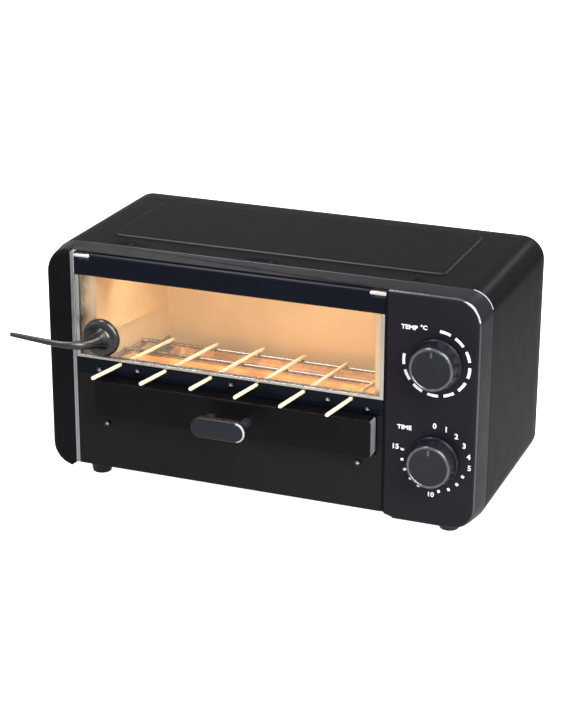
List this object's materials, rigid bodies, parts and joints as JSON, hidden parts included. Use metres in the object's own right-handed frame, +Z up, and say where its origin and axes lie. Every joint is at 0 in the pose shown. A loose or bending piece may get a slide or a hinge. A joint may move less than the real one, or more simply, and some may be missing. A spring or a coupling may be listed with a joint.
{
  "type": "electric yakitori grill",
  "caption": "Tabletop electric skewer grill with a lift-up glass window, a notched skewer rail, a drip drawer and a side panel with a heat knob and a timer knob.",
  "frame": {"origin": "middle of the outline's underside, on the table plane the feet stand on", "axes": "+X to the right as seen from the front, +Y from the front to the back, +Z up; the window, the drawer and the knobs face -Y"},
  "size_m": [0.366, 0.2186, 0.1945],
  "materials": {
    "black_steel": "satin",
    "black_plastic": "satin",
    "navy_enamel": "gloss",
    "plated_steel": "polished",
    "chamber_steel": "bright",
    "galvanised": "satin",
    "knob_plastic": "semi-gloss",
    "lever_plastic": "matte",
    "clear_glass": "clear",
    "bamboo": "natural",
    "ceramic": "matte",
    "rod_steel": "heat-tinted",
    "rubber": "matte",
    "phenolic": "matte"
  },
  "bodies": {
    "housing": {"outer_wrap": "black_steel", "front_bezel": "black_plastic", "chassis_frame": "plated_steel", "skewer_rail": "navy_enamel", "lower_panel": "black_steel", "rail_screw_1": "plated_steel", "rail_screw_2": "plated_steel", "rail_screw_3": "plated_steel", "rail_screw_4": "plated_steel", "rail_screw_5": "plated_steel", "panel_screw_1": "plated_steel", "panel_screw_2": "plated_steel", "oven_liner": "chamber_steel", "skewer_rack": "plated_steel", "lower_heating_rod_1": "rod_steel", "lower_heating_rod_2": "rod_steel", "upper_heating_rod_1": "rod_steel", "upper_heating_rod_2": "rod_steel", "lower_rod_holder_left": "ceramic", "lower_rod_holder_right": "ceramic", "upper_rod_holder_left": "ceramic", "upper_rod_holder_right": "ceramic", "tray_runner_left": "galvanised", "tray_runner_right": "galvanised", "thermostat": "phenolic", "timer_body": "galvanised", "rear_cover": "galvanised", "cord_bush": "rubber", "cover_screw_1": "plated_steel", "cover_screw_2": "plated_steel", "cover_screw_3": "plated_steel", "cover_screw_4": "plated_steel", "base_plate": "galvanised", "foot_front_left": "rubber", "foot_front_right": "rubber", "foot_rear_left": "rubber", "foot_rear_right": "rubber"},
    "window": {"window_rail": "navy_enamel", "window_glass": "clear_glass", "window_channel": "plated_steel", "hinge_pin_left": "plated_steel", "hinge_pin_right": "plated_steel", "lift_lever": "lever_plastic", "lever_screw": "plated_steel"},
    "drawer": {"drawer_front": "black_plastic", "drip_tray": "galvanised", "drawer_handle": "knob_plastic", "handle_post_left": "plated_steel", "handle_post_right": "plated_steel"},
    "heat_dial": {"heat_knob": "knob_plastic", "thermostat_shaft": "plated_steel"},
    "timer_dial": {"timer_knob": "knob_plastic", "timer_shaft": "plated_steel"},
    "skewer_one": {"skewer_1": "bamboo"},
    "skewer_two": {"skewer_2": "bamboo"},
    "skewer_three": {"skewer_3": "bamboo"},
    "skewer_four": {"skewer_4": "bamboo"},
    "skewer_five": {"skewer_5": "bamboo"},
    "skewer_six": {"skewer_6": "bamboo"}
  },
  "joints": [
    {"name": "window_hinge", "type": "hinge", "parent": "housing", "child": "window", "pos_m": [-0.016, -0.05583, 0.1878], "axis": [-1, 0, 0], "range_deg": [0, 100]},
    {"name": "drawer_slide", "type": "slide", "parent": "housing", "child": "drawer", "axis": [0, -1, 0], "range_m": [0, 0.11]},
    {"name": "heat_knob_turn", "type": "hinge", "parent": "housing", "child": "heat_dial", "pos_m": [0.14835, -0.0665, 0.1415], "axis": [0, 1, 0], "range_deg": [0, 285]},
    {"name": "timer_knob_turn", "type": "hinge", "parent": "housing", "child": "timer_dial", "pos_m": [0.14835, -0.0665, 0.066], "axis": [0, 1, 0], "range_deg": [0, 282]},
    {"name": "skewer_one_pull", "type": "slide", "parent": "housing", "child": "skewer_one", "axis": [0, -0.9925, 0.1219], "range_m": [0, 0.16]},
    {"name": "skewer_two_pull", "type": "slide", "parent": "housing", "child": "skewer_two", "axis": [0, -0.9925, 0.1219], "range_m": [0, 0.16]},
    {"name": "skewer_three_pull", "type": "slide", "parent": "housing", "child": "skewer_three", "axis": [0, -0.9925, 0.1219], "range_m": [0, 0.16]},
    {"name": "skewer_four_pull", "type": "slide", "parent": "housing", "child": "skewer_four", "axis": [0, -0.9925, 0.1219], "range_m": [0, 0.16]},
    {"name": "skewer_five_pull", "type": "slide", "parent": "housing", "child": "skewer_five", "axis": [0, -0.9925, 0.1219], "range_m": [0, 0.16]},
    {"name": "skewer_six_pull", "type": "slide", "parent": "housing", "child": "skewer_six", "axis": [0, -0.9925, 0.1219], "range_m": [0, 0.16]}
  ]
}
